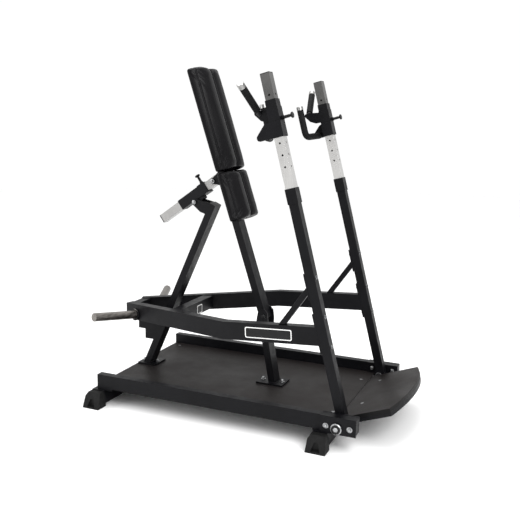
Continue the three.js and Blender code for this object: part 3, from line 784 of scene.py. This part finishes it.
def pin_rings(name, matrix, body):
    """Ribs round the stem of a spring pin; the matrix's z runs along the pin."""
    parts = []
    along = matrix.to_3x3() @ Vector((0, 0, 1))
    for height in PIN_RIB_HEIGHTS:
        profile = [[7.2, height - 1.6], [8.6, height - 0.8], [8.6, height + 0.8], [7.2, height + 1.6]]
        parts.append(turned(profile, matrix.translation, along, 28))
    make(name, *merge(parts), "plastic", body, "plastic")


def mirrored(place, sign):
    return Vector((place[0], sign * place[1], place[2]))


def collars():
    """Painted rings round the horns' welded roots."""
    for side, sign in SIDES:
        root, tip = mirrored(HORN_ROOT, sign), mirrored(HORN_TIP, sign)
        along = (tip - root).normalized()
        profile = [[25.2, 0], [36.6, 0], [36.6, 9.5], [35.4, 11], [25.2, 11.6]]
        ring = turned(profile, at(*(root + along * 0.5)), along, 40)
        split_shading(make(f"horn_collar_{side}", *ring, "frame", "press_arm", "frame"))


def handle_ends():
    """Bright rings past the grips, at the ends of the four handles."""
    for side, sign in SIDES:
        start, end = mirrored(HIGH_START, sign), mirrored(HIGH_END, sign)
        for name, tip, way, length in (
            ("high", end, (end - start).normalized(), 27),
            ("low", mirrored(LOW_END, sign), Vector((0, 0, 1)), 20),
        ):
            profile = [[14.3, 0], [19.2, 0.2], [19.2, length - 2.5], [17.6, length - 0.4], [14.3, length]]
            root = local(UPRIGHT, *(tip - way * (length + 0.6)))
            ring = turned(profile, root, UPRIGHT.to_3x3() @ way, 40)
            cap = make(f"handle_end_{name}_{side}", *ring, "adjuster", f"carriage_{side}_body", "bright")
            split_shading(cap)


def trim():
    collars()
    handle_ends()
    slope = Matrix.Rotation(math.radians(-3.4), 4, "Y")
    arm_face = Matrix.Translation(at(1040, -421.6, 545)) @ slope
    blank_label("arm_label", arm_face, 262, 58, "press_arm")
    cross_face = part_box("lever_cross_front")[1].x
    quarter_turn = math.radians(90)
    cross_middle = Matrix.Translation(Vector((cross_face, 33 * MM, 495.5 * MM)))
    facing = cross_middle @ Matrix.Rotation(quarter_turn, 4, "Z")
    blank_label("cross_plate", facing, 62, 54, "press_arm")
    along_pin = UPRIGHT.to_3x3().to_4x4() @ Matrix.Rotation(quarter_turn, 4, "Y")
    for side, sign in SIDES:
        pin = Matrix.Translation(local(UPRIGHT, 0, sign * SIDE, CARRIAGE_PIN)) @ along_pin
        pin_rings(f"carriage_pin_ribs_{side}", pin, f"carriage_pin_{side}_body")
    adjuster_pin = SLIDE @ Matrix.Translation(Vector((-85 * MM, 0, 0)))
    pin_rings("adjuster_pin_ribs", adjuster_pin, "adjuster_pin_body")


# ---------- studio ----------


def floor():
    mesh = bpy.data.meshes.new("floor")
    grid = bmesh.new()
    bmesh.ops.create_circle(grid, cap_ends=True, radius=14, segments=96)
    grid.to_mesh(mesh)
    grid.free()
    obj = bpy.data.objects.new("floor", mesh)
    bpy.context.scene.collection.objects.link(obj)
    p = Paint("pale_floor", 0.75)
    p.colour(p.ramp(p.noise(0.6, 2), (0.3, (0.975, 0.975, 0.975)), (0.7, (0.985, 0.985, 0.985))))
    p.shader.inputs["Specular IOR Level"].default_value = 0.1
    mesh.materials.append(p.done())


def softbox(name, place, target, size, power):
    light = bpy.data.lights.new(name, "AREA")
    light.shape = "RECTANGLE"
    light.size, light.size_y = size
    light.energy = power
    obj = bpy.data.objects.new(name, light)
    bpy.context.scene.collection.objects.link(obj)
    obj.location = place
    obj.rotation_mode = "QUATERNION"
    obj.rotation_quaternion = (Vector(target) - Vector(place)).to_track_quat("-Z", "Y")


def studio():
    world = bpy.data.worlds.new("studio")
    world.use_nodes = True
    world.node_tree.nodes["Background"].inputs["Color"].default_value = (1, 1, 1, 1)
    world.node_tree.nodes["Background"].inputs["Strength"].default_value = 1.02
    bpy.context.scene.world = world
    middle = (0, 0, 0.9)
    softbox("key", (3.2, -2.4, 3.4), middle, (2.4, 2.4), 130)
    softbox("top", (-0.3, 0.2, 4.2), middle, (3.0, 3.0), 90)
    softbox("left_fill", (-3.6, -3.0, 1.9), middle, (2.2, 2.6), 60)
    bpy.context.scene.view_settings.view_transform = "Standard"
    bpy.context.scene.view_settings.look = "None"


def camera():
    """Stands in front of the machine's right side, just below the handles, and looks slightly down."""
    data = bpy.data.cameras.new("camera")
    data.sensor_width = 36
    data.lens = 50.06
    data.clip_end = 60
    obj = bpy.data.objects.new("camera", data)
    bpy.context.scene.collection.objects.link(obj)
    obj.location = at(2421.5, -3759.76, 1621.83)
    heading, pitch, roll = (math.radians(a) for a in (113.23, -10.78, 0.91))
    flat = math.cos(pitch)
    ahead = Vector((math.cos(heading) * flat, math.sin(heading) * flat, math.sin(pitch)))
    level = ahead.cross(Vector((0, 0, 1))).normalized()
    above = level.cross(ahead)
    right = math.cos(roll) * level + math.sin(roll) * above
    up = -math.sin(roll) * level + math.cos(roll) * above
    obj.rotation_mode = "QUATERNION"
    obj.rotation_quaternion = Matrix((right, up, -ahead)).transposed().to_quaternion()
    bpy.context.scene.camera = obj


camera()
dress_cad()
for soft_node in ("upper_pad", "lower_pad"):
    pad(soft_node)
base_fasteners()
arm_fasteners()
linkage_fasteners()
pad_screws()
weld_beads()
trim()
floor()
studio()
